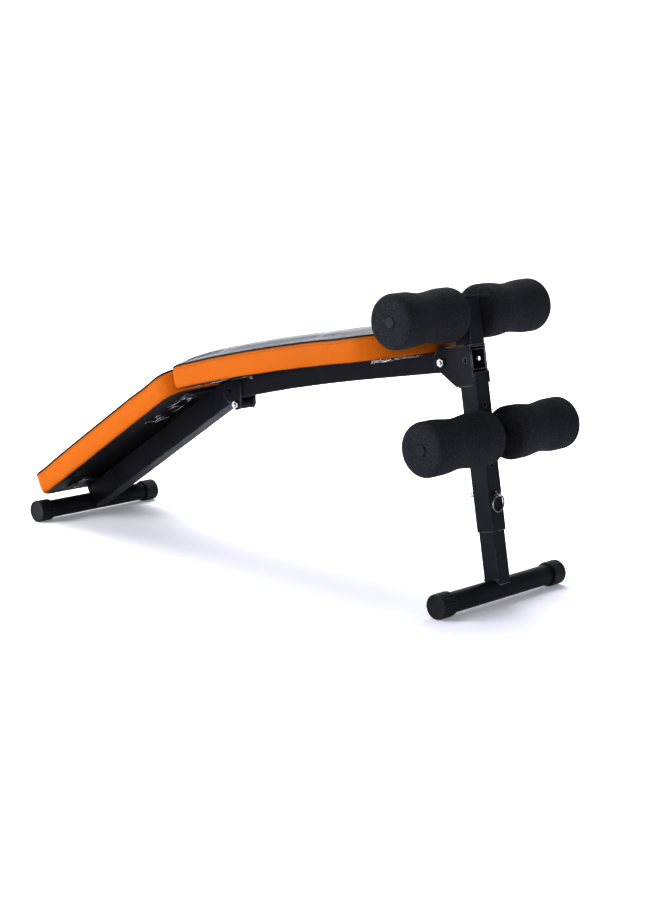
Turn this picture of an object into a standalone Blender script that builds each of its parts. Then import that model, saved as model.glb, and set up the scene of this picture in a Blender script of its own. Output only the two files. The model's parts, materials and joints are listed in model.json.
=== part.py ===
"""Decline sit-up bench: arched front beam on a leaning upright, a rear section that folds under it, two
padded boards and two bars of foam leg rollers.

Metres, +Z up. +X points to the leg rollers, +Y to the left of a person lying on the pads. The origin is the
middle of the bench's footprint, on the floor.

Three local frames carry the pieces:
  upright  - on the front foot's axis, local Z up along the leaning upright, local X out of its front face
  rear     - on the fold axis, local X up along the rear beam, local Z out of its top face
  roller   - one on each foam roller's axis, so that the roller turns about its own local Y
"""

import math

import bmesh
import bpy
from mathutils import Matrix, Vector

# Driving dimensions
LEAN = math.radians(9.5)  # upright, back from the vertical
REAR_SLOPE = math.radians(32.5)  # rear beam, down from the fold
GAP = 0.0003  # between pieces that touch

TUBE = 0.038  # square tube of beam, post and sleeve
WALL = 0.0015
TUBE_CORNER = 0.002
LEG = 0.034  # inner tube of the front leg
REAR_TUBE_HEIGHT = 0.048
PLATE = 0.003

FOOT_RADIUS = 0.019
CAP_RADIUS = 0.0233
CAP_LENGTH = 0.033
CAP_END = 0.004
FRONT_FOOT_LENGTH = 0.355
REAR_FOOT_LENGTH = 0.334
REAR_FOOT_ALONG = 0.5514  # fold axis to rear foot, along the rear beam

SLEEVE_BOTTOM = 0.108  # heights along the upright, from the front foot's axis
SLEEVE_TOP = 0.401
LEG_TOP = 0.305
POST_BOTTOM = 0.4515
POST_TOP = 0.540
BEAM_HEIGHT = 0.4245
UPPER_BAR_HEIGHT = 0.510
UPPER_BAR_OUT = -0.006  # from the upright's middle
LOWER_BAR_HEIGHT = 0.2825
PIN_HEIGHT = 0.175
EYE_OUT = 0.0262  # from the upright's middle
EYE_HOLE = 0.0034
SLEEVE_HOLES = (0.175, 0.230, 0.340)
LEG_HOLE_PITCH = 0.0275
LEG_HOLES_BELOW_PIN = 2
LEG_HOLES_ABOVE_PIN = 4

POST_BOLT_OUT = -0.0535  # from the upright's middle
LOCK_HOLE_OUT = 0.0015
BEAM_FRONT = 0.0165  # beam end, out from the upright's middle
BEAM_STRAIGHT = 0.250
BEAM_BEND_RADIUS = 5.0
FOLD_ALONG = 0.631  # fold axis, back along the beam from its front end
FOLD_DROP = TUBE / 2 + 0.0125  # fold axis under the beam's middle

BAR_RADIUS = 0.011
BAR_HALF = 0.2035
ROLLER_RADIUS = 0.050
ROLLER_WAIST = 0.0455
ROLLER_INNER_END = 0.033
LOWER_RIGHT_INNER_END = 0.0198  # this roller sits against the sleeve
ROLLER_OUTER_END = 0.205
ROLLER_ROUND = 0.016
PLUG_RADIUS = 0.0112
PLUG_END = 0.2063

PAD_WIDTH = 0.290
BOARD_THICKNESS = 0.012
FRONT_PAD_THICKNESS = 0.045
REAR_PAD_THICKNESS = 0.047
FRONT_PAD_START = 0.0840  # back along the beam from its front end
FRONT_PAD_LENGTH = 0.5920
REAR_PAD_START = 0.0270  # down the rear beam from the fold axis
REAR_PAD_LENGTH = 0.5180
PAD_CROWN = 0.010
PAD_EDGE = 0.008
CROWN_RUN = 0.060  # from a pad's end to its full crown
PAD_SKIRT = 0.002  # vinyl round the board's edge
PAD_SKIRT_DROP = 0.002  # below the board
TAB_THICKNESS = 0.0025

BOLT_RADIUS = 0.004
BOLT_HOLE_RADIUS = 0.0046
HEX_RADIUS = 0.0075
HEX_HEIGHT = 0.0055

ROUND_STEPS = 32
FINE_STEPS = 48
FASTENER_STEPS = 24


def beam_point(along, height):
    """Where a point is in the upright's frame: along the beam from its front end, and above its middle."""
    bend = max(along - BEAM_STRAIGHT, 0.0) / BEAM_BEND_RADIUS
    straight = min(along, BEAM_STRAIGHT)
    reach = BEAM_BEND_RADIUS + height
    x = BEAM_FRONT - straight - reach * math.sin(bend)
    z = BEAM_HEIGHT - BEAM_BEND_RADIUS + reach * math.cos(bend)
    return x, z


FOLD_LOCAL = beam_point(FOLD_ALONG, -FOLD_DROP)
LOWER_BAR_OUT = TUBE / 2 + BAR_RADIUS + GAP


def upright_to_side(x, z):
    """The upright frame's x and z, as distance ahead of the front foot's axis and height over the floor."""
    ahead = x * math.cos(LEAN) - z * math.sin(LEAN)
    height = x * math.sin(LEAN) + z * math.cos(LEAN) + CAP_RADIUS
    return ahead, height


FOLD_AHEAD, FOLD_Z = upright_to_side(*FOLD_LOCAL)
REAR_FOOT_UP = (CAP_RADIUS - FOLD_Z + REAR_FOOT_ALONG * math.sin(REAR_SLOPE)) / math.cos(REAR_SLOPE)
REAR_BEAM_BOTTOM = 0.0106  # over the fold axis, in the rear frame
REAR_BEAM_TOP = REAR_BEAM_BOTTOM + REAR_TUBE_HEIGHT
REAR_PAD_BOTTOM = REAR_BEAM_TOP + TAB_THICKNESS + 2 * GAP

FRONT_END_AHEAD = upright_to_side(LOWER_BAR_OUT, LOWER_BAR_HEIGHT)[0] + ROLLER_RADIUS
BACK_END_AHEAD = (
    FOLD_AHEAD
    - (REAR_PAD_START + REAR_PAD_LENGTH) * math.cos(REAR_SLOPE)
    - (REAR_PAD_BOTTOM + REAR_PAD_THICKNESS) * math.sin(REAR_SLOPE)
)
FRONT_FOOT_X = -(FRONT_END_AHEAD + BACK_END_AHEAD) / 2


# Modelling helpers


def clear_scene():
    for obj in list(bpy.data.objects):
        bpy.data.objects.remove(obj, do_unlink=True)


def make_material(name, colour, roughness, metallic=0.0):
    material = bpy.data.materials.new(name)
    material.use_nodes = True
    material.diffuse_color = (*colour, 1.0)
    shader = material.node_tree.nodes["Principled BSDF"]
    shader.inputs["Base Color"].default_value = (*colour, 1.0)
    shader.inputs["Roughness"].default_value = roughness
    shader.inputs["Metallic"].default_value = metallic
    return material


def make_empty(name, location, turn_y=0.0, parent=None):
    empty = bpy.data.objects.new(name, None)
    bpy.context.scene.collection.objects.link(empty)
    empty.location = location
    empty.rotation_euler = (0.0, turn_y, 0.0)
    empty.parent = parent
    return empty


def stack(loops, ring=False):
    """A closed body through loops of equal count: capped at both ends, or a ring with its last loop joined to the first."""
    body = bmesh.new()
    rows = [[body.verts.new(point) for point in loop] for loop in loops]
    count = len(rows[0])
    pairs = list(zip(rows, rows[1:]))
    if ring:
        pairs.append((rows[-1], rows[0]))
    else:
        body.faces.new(rows[0])
        body.faces.new(rows[-1])
    for row, following in pairs:
        for i in range(count):
            j = (i + 1) % count
            body.faces.new((row[i], row[j], following[j], following[i]))
    bmesh.ops.recalc_face_normals(body, faces=body.faces)
    return body


def add_piece(name, body, material, parent, location=(0.0, 0.0, 0.0), rotation=(0.0, 0.0, 0.0)):
    mesh = bpy.data.meshes.new(name)
    body.to_mesh(mesh)
    body.free()
    mesh.materials.append(material)
    mesh.shade_smooth()
    mesh.set_sharp_from_angle(angle=math.radians(35))
    piece = bpy.data.objects.new(name, mesh)
    bpy.context.scene.collection.objects.link(piece)
    piece.parent = parent
    piece.location = location
    piece.rotation_euler = rotation
    return piece


def circle_loop(radius, y, steps):
    """A circle round the local Y axis. It has a point on the local X axis at each side."""
    turn = 2 * math.pi / steps
    return [Vector((radius * math.cos(i * turn), y, radius * math.sin(i * turn))) for i in range(steps)]


def hex_loop(radius, y, steps):
    """A hexagon with the given radius to its flats, as points spaced evenly by angle."""
    points = []
    for i in range(steps):
        angle = 2 * math.pi * i / steps
        from_flat = (angle + math.pi / 6) % (math.pi / 3) - math.pi / 6
        reach = radius / math.cos(from_flat)
        points.append(Vector((reach * math.cos(angle), y, reach * math.sin(angle))))
    return points


def turned(profile, steps=ROUND_STEPS, ring=False):
    """A body turned round the local Y axis from (y, radius) pairs."""
    return stack([circle_loop(radius, y, steps) for y, radius in profile], ring)


def tube_loop(width, height, corner, place):
    """A rounded rectangle across a tube. place turns (sideways, up) into a point."""
    points = []
    quarter = 3
    middles = (
        (width / 2 - corner, height / 2 - corner, 0),
        (corner - width / 2, height / 2 - corner, 1),
        (corner - width / 2, corner - height / 2, 2),
        (width / 2 - corner, corner - height / 2, 3),
    )
    for side, up, turn in middles:
        for i in range(quarter + 1):
            angle = math.pi / 2 * (turn + i / quarter)
            points.append(place(side + corner * math.cos(angle), up + corner * math.sin(angle)))
    return points


def square_tube(width, height, places):
    """A hollow tube, open at both ends, through the cross-sections in places."""
    inner_width = width - 2 * WALL
    inner_height = height - 2 * WALL
    inner_corner = TUBE_CORNER - WALL
    outer = [tube_loop(width, height, TUBE_CORNER, place) for place in places]
    inner = [tube_loop(inner_width, inner_height, inner_corner, place) for place in places]
    return stack(outer + inner[::-1], ring=True)


def upright_tube(width, bottom, top):
    """A square tube along the local Z axis."""
    places = [lambda side, up, z=z: Vector((up, side, z)) for z in (bottom, top)]
    return square_tube(width, width, places)


def side_prism(outline, y_low, y_high):
    """A flat piece with its outline in local X and Z, and its thickness along Y."""
    return stack([[Vector((x, y, z)) for x, z in outline] for y in (y_low, y_high)])


def arc_points(centre, radius, start_degrees, end_degrees, steps):
    points = []
    for i in range(steps + 1):
        angle = math.radians(start_degrees + (end_degrees - start_degrees) * i / steps)
        points.append((centre[0] + radius * math.cos(angle), centre[1] + radius * math.sin(angle)))
    return points


def box_body(low, high):
    outline = ((low[0], low[2]), (high[0], low[2]), (high[0], high[2]), (low[0], high[2]))
    return side_prism(outline, low[1], high[1])


def apply_boolean(piece, tool, operation):
    tool.hide_render = True
    tool.display_type = "WIRE"
    modifier = piece.modifiers.new(f"{operation.lower()}_{tool.name}", "BOOLEAN")
    modifier.operation = operation
    modifier.solver = "EXACT"
    modifier.object = tool


def round_cutter(name, radius, length, parent, location, rotation=(0.0, 0.0, 0.0), steps=16):
    body = turned(((-length / 2, radius), (length / 2, radius)), steps)
    return add_piece(name, body, STEEL, parent, location, rotation)


ALONG_X = (0.0, 0.0, -math.pi / 2)  # turns a body's local Y onto +X
ALONG_Z = (math.pi / 2, 0.0, 0.0)  # turns a body's local Y onto +Z


# Fasteners


def hex_bolt_body(length, head_radius=HEX_RADIUS, radius=BOLT_RADIUS, steps=FASTENER_STEPS):
    """Head under y = 0, shank above it."""
    chamfer = 0.0008
    loops = [
        hex_loop(head_radius - chamfer, -HEX_HEIGHT, steps),
        hex_loop(head_radius, chamfer - HEX_HEIGHT, steps),
        hex_loop(head_radius, 0.0, steps),
        circle_loop(radius, 0.0, steps),
        circle_loop(radius, length - chamfer, steps),
        circle_loop(radius - chamfer, length, steps),
    ]
    return stack(loops)


def hex_nut_body(radius=BOLT_RADIUS):
    """A nut from y = 0 up."""
    steps = FASTENER_STEPS
    chamfer = 0.0008
    bore = radius + GAP
    loops = [
        circle_loop(bore, 0.0, steps),
        hex_loop(HEX_RADIUS, 0.0, steps),
        hex_loop(HEX_RADIUS, HEX_HEIGHT - chamfer, steps),
        hex_loop(HEX_RADIUS - chamfer, HEX_HEIGHT, steps),
        circle_loop(bore, HEX_HEIGHT, steps),
    ]
    return stack(loops, ring=True)


def add_cross_bolt(prefix, parent, x, z, half_width):
    """A bolt and nut across the bench: head on the left, nut on the right."""
    seat = half_width + GAP
    end_past_nut = 0.003
    length = 2 * seat + HEX_HEIGHT + end_past_nut
    add_piece(f"{prefix}_bolt", hex_bolt_body(length), ZINC, parent, (x, seat, z), (0.0, 0.0, math.pi))
    add_piece(f"{prefix}_nut", hex_nut_body(), ZINC, parent, (x, -seat - GAP, z), (0.0, 0.0, math.pi))


# Feet


def ribbed_loop(y, radius):
    """A circle round the local Y axis with every other point pulled in, for ribs along the cap."""
    rib_depth = 0.0006
    loop = circle_loop(radius, y, FINE_STEPS)
    for point in loop[1::2]:
        point.x *= (radius - rib_depth) / radius
        point.z *= (radius - rib_depth) / radius
    return loop


def foot_cap_body():
    """A ribbed cup from its end face at y = 0, open toward +y."""
    chamfer = 0.0008
    bore = FOOT_RADIUS + GAP
    loops = [
        circle_loop(CAP_RADIUS - chamfer, 0.0, FINE_STEPS),
        ribbed_loop(chamfer, CAP_RADIUS),
        ribbed_loop(CAP_LENGTH - chamfer, CAP_RADIUS),
        circle_loop(CAP_RADIUS - 2 * chamfer, CAP_LENGTH, FINE_STEPS),
        circle_loop(bore, CAP_LENGTH, FINE_STEPS),
        circle_loop(bore, CAP_END, FINE_STEPS),
    ]
    return stack(loops)


def add_foot(prefix, length, parent, location=(0.0, 0.0, 0.0)):
    """A round cross tube, open at both ends, with a ribbed cap on each."""
    half = length / 2
    tube_half = half - CAP_END - GAP
    inner = FOOT_RADIUS - WALL
    profile = (
        (-tube_half, inner),
        (-tube_half, FOOT_RADIUS),
        (tube_half, FOOT_RADIUS),
        (tube_half, inner),
    )
    x, y, z = location
    add_piece(f"{prefix}_foot_tube", turned(profile, FINE_STEPS, ring=True), STEEL, parent, location)
    add_piece(f"{prefix}_foot_cap_right", foot_cap_body(), PLASTIC, parent, (x, y - half, z))
    left_turn = (0.0, 0.0, math.pi)
    add_piece(f"{prefix}_foot_cap_left", foot_cap_body(), PLASTIC, parent, (x, y + half, z), left_turn)


# Upright and front leg


def add_leg(upright):
    """The inner tube of the front leg, coped onto its foot, with a column of locking holes."""
    coped_end = 0.005
    leg = add_piece("leg_tube", upright_tube(LEG, coped_end, LEG_TOP), STEEL, upright)
    cope = round_cutter("leg_cope", FOOT_RADIUS + GAP, 2 * LEG, upright, (0.0, 0.0, 0.0), steps=FINE_STEPS)
    apply_boolean(leg, cope, "DIFFERENCE")
    for i in range(-LEG_HOLES_BELOW_PIN, LEG_HOLES_ABOVE_PIN + 1):
        height = PIN_HEIGHT + i * LEG_HOLE_PITCH
        name = f"leg_hole_{i + LEG_HOLES_BELOW_PIN + 1}"
        hole = round_cutter(name, BOLT_HOLE_RADIUS, 2 * LEG, upright, (0.0, 0.0, height), ALONG_X)
        apply_boolean(leg, hole, "DIFFERENCE")
    add_foot("front", FRONT_FOOT_LENGTH, upright)


def add_sleeve(upright):
    """The outer tube that the leg slides in, with its locking holes through front and rear."""
    sleeve = add_piece("leg_sleeve", upright_tube(TUBE, SLEEVE_BOTTOM, SLEEVE_TOP), STEEL, upright)
    for number, height in enumerate(SLEEVE_HOLES, start=1):
        name = f"sleeve_hole_{number}"
        hole = round_cutter(name, BOLT_HOLE_RADIUS, 2 * TUBE, upright, (0.0, 0.0, height), ALONG_X)
        apply_boolean(sleeve, hole, "DIFFERENCE")


def add_saddle(upright):
    """The bent plate over the beam's front end: two cheeks welded to the sleeve, and a web under the post."""
    web_top = POST_BOTTOM - GAP
    web = 0.004
    inside = TUBE / 2 + GAP
    outside = inside + PLATE
    cheek_bottom = 0.377
    rear_end = -0.072
    channel = (
        (-outside, cheek_bottom),
        (-inside, cheek_bottom),
        (-inside, web_top - web),
        (inside, web_top - web),
        (inside, cheek_bottom),
        (outside, cheek_bottom),
        (outside, web_top),
        (-outside, web_top),
    )
    body = stack([[Vector((x, y, z)) for y, z in channel] for x in (rear_end, BEAM_FRONT)])
    saddle = add_piece("saddle_bracket", body, STEEL, upright)

    corner = 0.006
    profile = (
        arc_points((BEAM_FRONT - corner, cheek_bottom + corner + GAP), corner, 270, 360, 4)
        + [(BEAM_FRONT + GAP, web_top + GAP), (-0.058, web_top + GAP), (-0.070, 0.438)]
        + [(rear_end - GAP, 0.438), (rear_end - GAP, 0.4075), (-0.0585, 0.4062), (-0.0275, 0.3785)]
        + [(-0.0240, cheek_bottom + GAP)]
    )
    outline = add_piece("saddle_outline", side_prism(profile, -2 * TUBE, 2 * TUBE), STEEL, upright)
    apply_boolean(saddle, outline, "INTERSECT")
    return saddle


def add_post(upright):
    """The short post above the beam, with a plastic plug in its top and the upper bar through it."""
    post = add_piece("upper_post", upright_tube(TUBE, POST_BOTTOM, POST_TOP), STEEL, upright)
    place = (UPPER_BAR_OUT, 0.0, UPPER_BAR_HEIGHT)
    hole = round_cutter("post_bar_hole", BAR_RADIUS + GAP, 2 * TUBE, upright, place, steps=ROUND_STEPS)
    apply_boolean(post, hole, "DIFFERENCE")

    inside = TUBE - 2 * WALL - 2 * GAP
    inside_corner = TUBE_CORNER - WALL
    plug_depth = 0.012
    lid = 0.002
    levels = (
        (inside, inside_corner, POST_TOP - plug_depth),
        (inside, inside_corner, POST_TOP + GAP),
        (TUBE, TUBE_CORNER, POST_TOP + GAP),
        (TUBE, TUBE_CORNER, POST_TOP + lid - WALL / 2),
        (TUBE - WALL, TUBE_CORNER, POST_TOP + lid),
    )
    loops = [
        tube_loop(width, width, corner, lambda side, up, z=z: Vector((up, side, z)))
        for width, corner, z in levels
    ]
    add_piece("post_cap", stack(loops), PLASTIC, upright)


def add_front_beam(upright, saddle):
    """The arched square tube. Its rear end is cut on the plane where it meets the rear beam."""
    length_past_fold = 0.035
    sections = [0.0, BEAM_STRAIGHT]
    bend_steps = 8
    rest = FOLD_ALONG + length_past_fold - BEAM_STRAIGHT
    sections += [BEAM_STRAIGHT + rest * (i + 1) / bend_steps for i in range(bend_steps)]

    def section(along):
        def place(side, up):
            x, z = beam_point(along, up)
            return Vector((x, side, z))

        return place

    beam = add_piece("front_beam", square_tube(TUBE, TUBE, [section(a) for a in sections]), STEEL, upright)
    reach = 0.2
    butt = add_piece("front_butt", box_body((-reach, -TUBE, -reach), (GAP, TUBE, reach)), STEEL, None)
    butt.location = fold_place()
    butt.rotation_euler = (0.0, -butt_tilt(), 0.0)
    apply_boolean(beam, butt, "DIFFERENCE")

    for name, out in (("post_bolt_hole", POST_BOLT_OUT), ("lock_hole", LOCK_HOLE_OUT)):
        hole = round_cutter(name, BOLT_HOLE_RADIUS, 3 * TUBE, upright, (out, 0.0, BEAM_HEIGHT))
        apply_boolean(beam, hole, "DIFFERENCE")
        apply_boolean(saddle, hole, "DIFFERENCE")
    lock = round_cutter("front_fold_lock", BOLT_HOLE_RADIUS, 3 * TUBE, None, lock_place())
    apply_boolean(beam, lock, "DIFFERENCE")
    add_cross_bolt("post", upright, POST_BOLT_OUT, BEAM_HEIGHT, TUBE / 2 + GAP + PLATE)


# Fold


def fold_place():
    return Vector((FRONT_FOOT_X + FOLD_AHEAD, 0.0, FOLD_Z))


def butt_tilt():
    """The angle of the plane where the two beams meet, back from the vertical: halfway between their slopes."""
    front_slope = LEAN + (FOLD_ALONG - BEAM_STRAIGHT) / BEAM_BEND_RADIUS
    return (front_slope + REAR_SLOPE) / 2


def lock_place():
    """The lock hole's middle, over and behind the fold axis."""
    return fold_place() + Vector((-0.0205, 0.0, 0.0265))


def add_hinge_plates():
    """Two cheeks welded to the front beam that carry the fold bolt in a lobe under it."""
    lobe_radius = 0.0115
    outline = (
        arc_points((0.0, 0.0), lobe_radius, 205, 360, 10)
        + [(0.0120, 0.0500), (-0.0330, 0.0392)]
        + arc_points((-0.0310, 0.0160), 0.0060, 170, 235, 4)
    )
    inside = TUBE / 2 + GAP
    for side, low in (("right", -inside - PLATE), ("left", inside)):
        body = side_prism(outline, low, low + PLATE)
        plate = add_piece(f"hinge_plate_{side}", body, STEEL, None, fold_place())
        lock = round_cutter(f"lock_{side}", BOLT_HOLE_RADIUS, 3 * TUBE, None, lock_place())
        apply_boolean(plate, lock, "DIFFERENCE")
        pivot = round_cutter(f"pivot_{side}", BOLT_RADIUS + GAP, 3 * TUBE, None, fold_place())
        apply_boolean(plate, pivot, "DIFFERENCE")
    add_cross_bolt("fold", make_empty("fold", fold_place()), 0.0, 0.0, inside + PLATE)


def add_rear_beam(rear):
    """The rear tube, coped onto its foot, and the barrel under it that turns on the fold bolt."""
    front_end = 0.040
    rear_end = -REAR_FOOT_ALONG + 0.0115
    middle = REAR_BEAM_BOTTOM + REAR_TUBE_HEIGHT / 2
    places = [lambda side, up, x=x: Vector((x, side, middle + up)) for x in (front_end, rear_end)]
    beam = add_piece("rear_beam", square_tube(TUBE, REAR_TUBE_HEIGHT, places), STEEL, rear)

    reach = 0.2
    butt = add_piece("rear_butt", box_body((-GAP, -TUBE, -reach), (reach, TUBE, reach)), STEEL, None)
    butt.location = fold_place()
    butt.rotation_euler = (0.0, -butt_tilt(), 0.0)
    apply_boolean(beam, butt, "DIFFERENCE")

    bevel = ((-0.0160, 0.0700), (-0.0160, 0.0560), (0.0300, 0.0400), (0.0300, 0.0700))
    relief = add_piece("rear_relief", side_prism(bevel, -TUBE, TUBE), STEEL, rear)
    apply_boolean(beam, relief, "DIFFERENCE")

    foot_place = (-REAR_FOOT_ALONG, 0.0, REAR_FOOT_UP)
    cope = round_cutter("rear_cope", FOOT_RADIUS + GAP, 2 * TUBE, rear, foot_place, steps=FINE_STEPS)
    apply_boolean(beam, cope, "DIFFERENCE")
    lock = round_cutter("rear_fold_lock", BOLT_HOLE_RADIUS, 3 * TUBE, None, lock_place())
    apply_boolean(beam, lock, "DIFFERENCE")

    barrel_radius = REAR_BEAM_BOTTOM - GAP
    barrel_half = TUBE / 2 - GAP
    bore = BOLT_RADIUS + GAP
    profile = (
        (-barrel_half, bore),
        (-barrel_half, barrel_radius),
        (barrel_half, barrel_radius),
        (barrel_half, bore),
    )
    add_piece("hinge_barrel", turned(profile, ring=True), STEEL, rear)
    add_foot("rear", REAR_FOOT_LENGTH, rear, foot_place)


# Foam rollers


def roller_radius(share, length):
    """The foam's radius at a share of its length: full near both ends, slim in the middle, rounded at the ends."""
    fullest = 0.20
    from_middle = min(abs(share - 0.5) / (0.5 - fullest), 1.0)
    swell = 0.5 - 0.5 * math.cos(math.pi * from_middle)
    radius = ROLLER_WAIST + (ROLLER_RADIUS - ROLLER_WAIST) * swell
    from_end = min(min(share, 1 - share) * length, ROLLER_ROUND)
    return radius - ROLLER_ROUND + math.sqrt(ROLLER_ROUND**2 - (ROLLER_ROUND - from_end) ** 2)


def add_roller(name, side, inner_end, bar):
    """A foam roller that turns on its bar. side is -1 on the right and 1 on the left."""
    steps = 16
    length = ROLLER_OUTER_END - inner_end
    middle = side * (inner_end + ROLLER_OUTER_END) / 2
    frame = make_empty(f"{name}_axis", (0.0, middle, 0.0), parent=bar)
    shares = [0.5 - 0.5 * math.cos(math.pi * i / steps) for i in range(steps + 1)]
    bore = BAR_RADIUS + GAP
    profile = [(-length / 2, bore)]
    profile += [(length * (share - 0.5), roller_radius(share, length)) for share in shares]
    profile += [(length / 2, bore)]
    add_piece(name, turned(profile, ROUND_STEPS, ring=True), FOAM, frame)


def add_roller_bar(level, upright, out, height, right_inner_end):
    """A cross bar with a plug in each end and a foam roller on each side."""
    bar = make_empty(f"{level}_bar", (out, 0.0, height), parent=upright)
    inner = BAR_RADIUS - WALL
    profile = ((-BAR_HALF, inner), (-BAR_HALF, BAR_RADIUS), (BAR_HALF, BAR_RADIUS), (BAR_HALF, inner))
    add_piece(f"{level}_crossbar", turned(profile, ring=True), STEEL, bar)

    stem_radius = inner - GAP
    stem_depth = 0.020
    rounding = 0.001
    plug = (
        (-PLUG_END, PLUG_RADIUS - rounding),
        (rounding - PLUG_END, PLUG_RADIUS),
        (-ROLLER_OUTER_END - GAP, PLUG_RADIUS),
        (-ROLLER_OUTER_END - GAP, stem_radius),
        (stem_depth - PLUG_END, stem_radius),
    )
    sides = (("right", -1, 0.0, right_inner_end), ("left", 1, math.pi, ROLLER_INNER_END))
    for side_name, side, turn, inner_end in sides:
        plug_body = turned(plug, FASTENER_STEPS)
        add_piece(f"{level}_plug_{side_name}", plug_body, PLASTIC, bar, rotation=(0.0, 0.0, turn))
        add_roller(f"{level}_roller_{side_name}", side, inner_end, bar)


# Pull pin


def add_pull_pin(upright):
    """The round pin through sleeve and leg, with an eye in its head."""
    pin = make_empty("pin_axis", (0.0, 0.0, PIN_HEIGHT), parent=upright)
    tail = -0.038
    shaft = 0.0040
    neck = 0.0032
    collar = 0.0062
    eye_radius = 0.0056
    face = TUBE / 2 + GAP
    collar_end = face + 0.0018
    profile = [
        (tail, shaft - 0.001),
        (tail + 0.001, shaft),
        (face, shaft),
        (face, collar),
        (collar_end, collar),
        (collar_end, neck),
    ]
    eye_steps = 8
    for i in range(eye_steps):
        angle = math.radians(140 - 130 * i / (eye_steps - 1))
        profile.append((EYE_OUT + eye_radius * math.cos(angle), eye_radius * math.sin(angle)))
    body = add_piece("pull_pin", turned(profile, FASTENER_STEPS), ZINC, pin, rotation=ALONG_X)
    hole = round_cutter("eye_hole", EYE_HOLE, 0.030, pin, (EYE_OUT, 0.0, 0.0))
    apply_boolean(body, hole, "DIFFERENCE")
    add_pin_ring(pin)


def add_pin_ring(pin):
    """The split ring. It hangs straight down from the bottom of the eye's hole."""
    wire = 0.0014
    radius = 0.0156
    curve_clearance = 0.0007
    drop = radius + EYE_HOLE - wire - GAP - curve_clearance
    turns = 36
    wire_steps = 8
    frame = make_empty("ring_axis", (EYE_OUT, 0.0, 0.0), turn_y=LEAN, parent=pin)
    loops = []
    for i in range(turns):
        angle = 2 * math.pi * i / turns
        outward = Vector((0.0, math.sin(angle), math.cos(angle)))
        middle = outward * radius - Vector((0.0, 0.0, drop))
        loop = []
        for k in range(wire_steps):
            around = 2 * math.pi * k / wire_steps
            loop.append(middle + outward * wire * math.cos(around) + Vector((wire * math.sin(around), 0.0, 0.0)))
        loops.append(loop)
    add_piece("pin_ring", stack(loops, ring=True), ZINC, frame)


# Pads


def pad_half_width(along, length, corners, half_width):
    """Half the pad's width at a place along it. corners are the plan radii at its start and its end."""
    from_end, corner = min((along, corners[0]), (length - along, corners[1]), key=lambda end: end[0] / end[1])
    if from_end >= corner:
        return half_width
    return half_width - corner + math.sqrt(max(corner**2 - (corner - from_end) ** 2, 0.0))


def pad_stations(length, corners):
    """Places along a pad: close together on its rounded corners and even between them."""
    corner_steps = 5
    eased = [1 - math.cos(math.radians(90 * i / corner_steps)) for i in range(1, corner_steps + 1)]
    eased.insert(0, 1 - math.cos(math.radians(6)))
    starts = [corners[0] * share for share in eased]
    ends = [length - corners[1] * share for share in reversed(eased)]
    middle_steps = 8
    step = (ends[0] - starts[-1]) / middle_steps
    return starts + [starts[-1] + step * i for i in range(1, middle_steps)] + ends


def pad_body(length, corners, bottom, top, crown, edge, inset, place):
    """A slab through cross-sections along a pad: flat below, crowned above, rounded in plan.

    edge is how far its top edges are rounded. inset pulls its outline in all round. place turns (along, y, height)
    into a point.
    """
    inner_corners = [corner - inset for corner in corners]
    inner_length = length - 2 * inset
    loops = []
    for along in pad_stations(inner_length, inner_corners):
        half = pad_half_width(along, inner_length, inner_corners, PAD_WIDTH / 2 - inset)
        rise = crown * min(min(along, inner_length - along) / CROWN_RUN, 1.0)
        outline = (
            (-half, bottom),
            (half, bottom),
            (half, top - edge),
            (half - edge / 3, top - edge / 3),
            (half - edge, top),
            (half * 0.72, top + rise * 0.6),
            (half * 0.40, top + rise * 0.93),
            (0.0, top + rise),
            (-half * 0.40, top + rise * 0.93),
            (-half * 0.72, top + rise * 0.6),
            (edge - half, top),
            (edge / 3 - half, top - edge / 3),
            (-half, top - edge),
        )
        loops.append([place(inset + along, y, z) for y, z in outline])
    return stack(loops)


def add_pad(prefix, parent, length, corners, thickness, bottom, place):
    """A cushion pulled down over the edge of its board, with the board set into its underside."""
    board_top = bottom + BOARD_THICKNESS
    board_edge = 0.001
    board = pad_body(length, corners, bottom, board_top, 0.0, board_edge, PAD_SKIRT + GAP, place)
    add_piece(f"{prefix}_board", board, BOARD, parent)
    low = bottom - PAD_SKIRT_DROP
    cushion = pad_body(length, corners, low, bottom + thickness, PAD_CROWN, PAD_EDGE, 0.0, place)
    pad = add_piece(f"{prefix}_pad", cushion, VINYL, parent)
    recess_low = bottom - BOARD_THICKNESS
    recess = pad_body(length, corners, recess_low, board_top + GAP, 0.0, board_edge, PAD_SKIRT, place)
    recess_piece = add_piece(f"{prefix}_recess", recess, VINYL, parent)
    apply_boolean(pad, recess_piece, "DIFFERENCE")


def add_pad_tab(prefix, parent, centre, turn_y, screw_out):
    """A steel strip across a beam, under the board, and its two screws up into the board."""
    tab = make_empty(f"{prefix}_tab_frame", centre, turn_y, parent)
    half_length = 0.014
    past_screw = 0.013
    half_width = screw_out + past_screw
    body = box_body((-half_length, -half_width, GAP), (half_length, half_width, GAP + TAB_THICKNESS))
    strip = add_piece(f"{prefix}_tab", body, STEEL, tab)
    shank = 0.003
    for side, y in (("right", -screw_out), ("left", screw_out)):
        hole = round_cutter(f"{prefix}_{side}_hole", shank + GAP, 0.02, tab, (0.0, y, 0.0), ALONG_Z)
        apply_boolean(strip, hole, "DIFFERENCE")
        screw = hex_bolt_body(TAB_THICKNESS + GAP, 0.0055, shank, steps=12)
        add_piece(f"{prefix}_screw_{side}", screw, ZINC, tab, (0.0, y, 0.0), ALONG_Z)


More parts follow.
